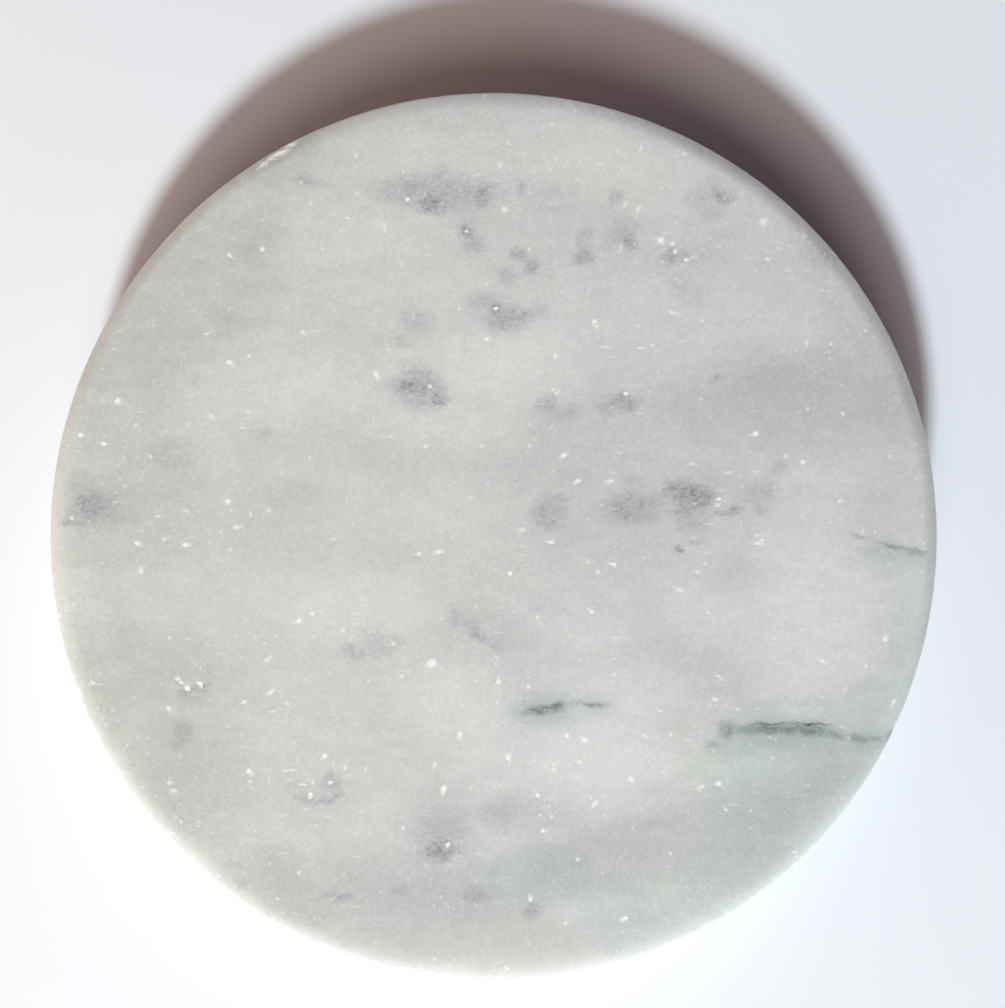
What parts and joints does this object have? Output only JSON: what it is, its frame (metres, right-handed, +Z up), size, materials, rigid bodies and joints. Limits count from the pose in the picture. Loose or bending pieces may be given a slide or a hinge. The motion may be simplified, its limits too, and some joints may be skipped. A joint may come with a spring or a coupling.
{
  "type": "marble disc",
  "caption": "Round honed white and grey marble disc with an eased rim on small clear bumper feet, a flat base to stand a shaving bowl, brush or soap on.",
  "frame": {"origin": "centre of the disc, in the plane that the feet rest on", "axes": "+Z up, square to the flat face; +X and +Y lie between neighbouring feet"},
  "size_m": [0.1, 0.1, 0.0123],
  "materials": {
    "honed_marble": "honed, matt to faint satin, translucent at the rim",
    "clear_bumper": "clear to slightly milky soft polyurethane, smooth moulded"
  },
  "bodies": {
    "root": {"stone_disc": "honed_marble", "bumper_foot_1": "clear_bumper", "bumper_foot_2": "clear_bumper", "bumper_foot_3": "clear_bumper", "bumper_foot_4": "clear_bumper"}
  },
  "joints": []
}
